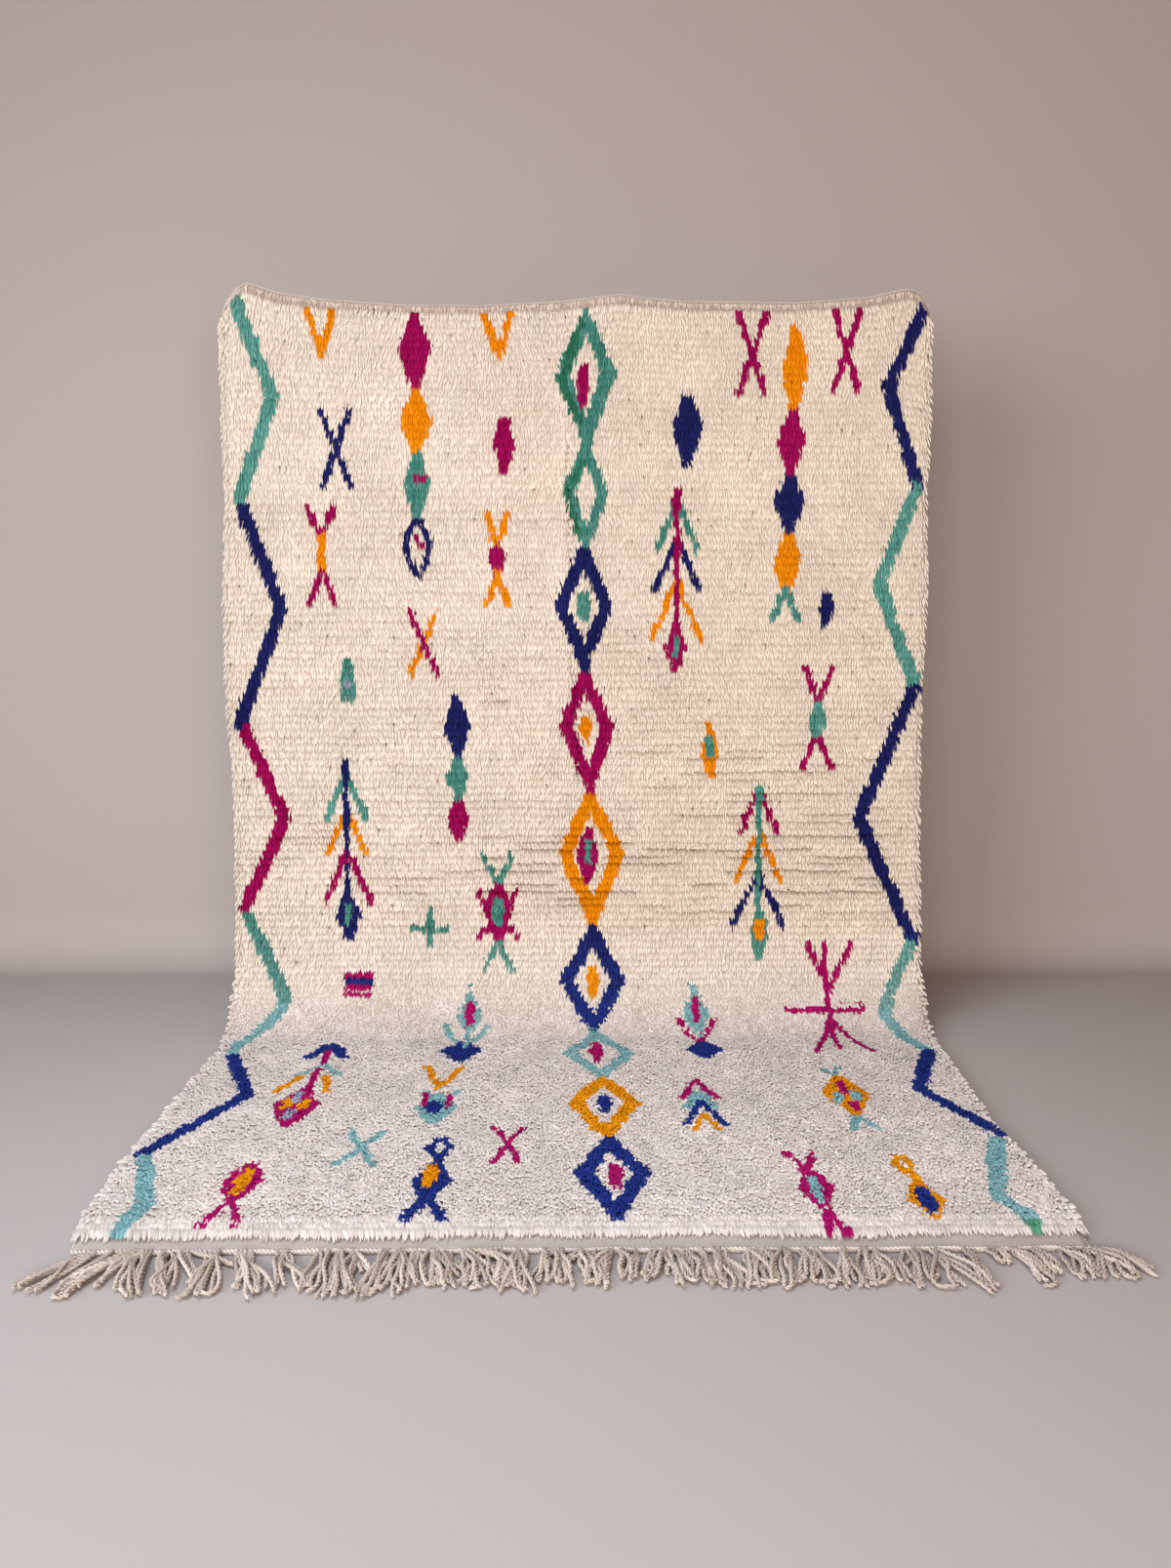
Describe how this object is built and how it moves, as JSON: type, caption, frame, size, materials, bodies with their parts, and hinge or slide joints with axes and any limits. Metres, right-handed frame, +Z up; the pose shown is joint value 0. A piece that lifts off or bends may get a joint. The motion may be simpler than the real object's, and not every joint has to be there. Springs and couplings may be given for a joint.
{
  "type": "azilal rug",
  "caption": "Hand-knotted shaggy wool rug with diamond, zigzag and cross motifs and a cord fringe, hung by its upper edge and turned forward onto the floor.",
  "frame": {"origin": "middle of the floor space that the rug and its fringe cover, on the floor", "axes": "+Z up, +Y towards the hanging part, -Y towards the fringe on the floor, X across the rug"},
  "size_m": [1.6, 1.1987, 1.6031],
  "materials": {
    "wool_cream": "matte shaggy wool pile, undyed cream",
    "wool_navy": "matte wool pile, navy blue",
    "wool_magenta": "matte wool pile, magenta",
    "wool_orange": "matte wool pile, orange",
    "wool_teal": "matte wool pile, teal",
    "wool_green": "matte wool pile, green, next to the teal",
    "wool_aqua": "matte wool pile, light blue-green",
    "wool_lilac": "matte wool pile, grey-lilac, in a few small cells",
    "ground_weave": "flat-woven ground and end bands, grey-beige",
    "warp_cord": "twisted warp cords, grey-beige"
  },
  "bodies": {
    "root": {"rug": "wool_cream", "fringe": "warp_cord"}
  },
  "joints": []
}
